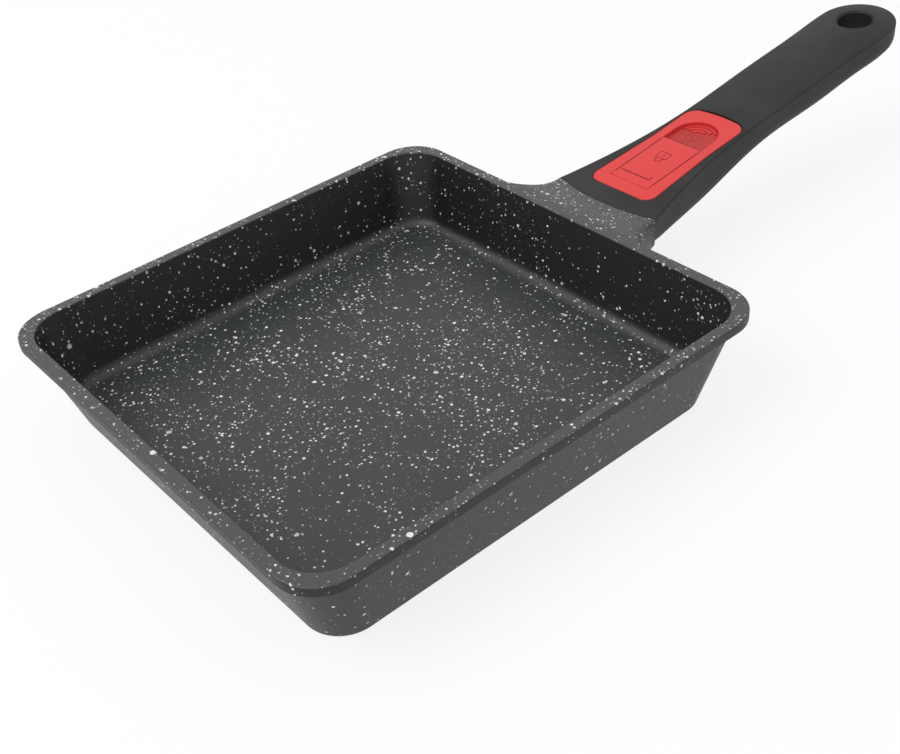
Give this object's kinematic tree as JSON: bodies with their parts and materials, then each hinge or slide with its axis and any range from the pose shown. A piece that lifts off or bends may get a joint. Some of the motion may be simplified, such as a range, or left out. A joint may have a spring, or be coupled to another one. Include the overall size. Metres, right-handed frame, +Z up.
{
  "type": "tamagoyaki pan",
  "caption": "Square omelette pan in coated cast aluminium with a flanged rim and a pull-off handle locked by a red slide, for cooking rolled omelettes.",
  "frame": {"origin": "middle of the pan's base, on the surface that the pan stands on", "axes": "+X from the pan to the handle, +Z up, +Y to the left when looking along +X"},
  "size_m": [0.3276, 0.16, 0.0503],
  "materials": {
    "pan_coating": "cast aluminium under a dark grey non-stick coating with fine pale specks",
    "induction_steel": "brushed",
    "bright_steel": "brushed",
    "screw_steel": "satin",
    "handle_plastic": "matt, fine grain",
    "cover_plastic": "matt",
    "guide_plastic": "matt",
    "brass": "machined",
    "red_plastic": "satin, moulded in colour",
    "pad_rubber": "matt silicone"
  },
  "bodies": {
    "pan": {"pan_body": "pan_coating", "induction_plate": "induction_steel", "pan_tongue": "bright_steel", "tongue_screws": "screw_steel"},
    "handle": {"handle_shell": "handle_plastic", "lock_cover": "cover_plastic", "cover_screws": "screw_steel", "cover_inserts": "brass", "lock_bezel": "red_plastic", "latch_guide": "guide_plastic", "guide_screws": "screw_steel", "socket_pad": "pad_rubber", "tongue_spring": "bright_steel"},
    "slide": {"lock_plate": "red_plastic", "slide_carrier": "bright_steel", "carrier_screws": "screw_steel"},
    "bolt": {"latch_bolt": "bright_steel", "bolt_pin": "bright_steel"}
  },
  "joints": [
    {"name": "handle_release", "type": "slide", "parent": "pan", "child": "handle", "axis": [0.9917, 0, 0.1288], "range_m": [0, 0.05]},
    {"name": "lock_slide", "type": "slide", "parent": "handle", "child": "slide", "axis": [0.9917, 0, 0.1288], "range_m": [0, 0.008]},
    {"name": "bolt_lift", "type": "slide", "parent": "handle", "child": "bolt", "axis": [-0.1288, 0, 0.9917], "range_m": [0, 0.0027]}
  ],
  "couplings": [
    {"joint": "bolt_lift", "follows": "lock_slide", "ratio": 0.3375}
  ]
}
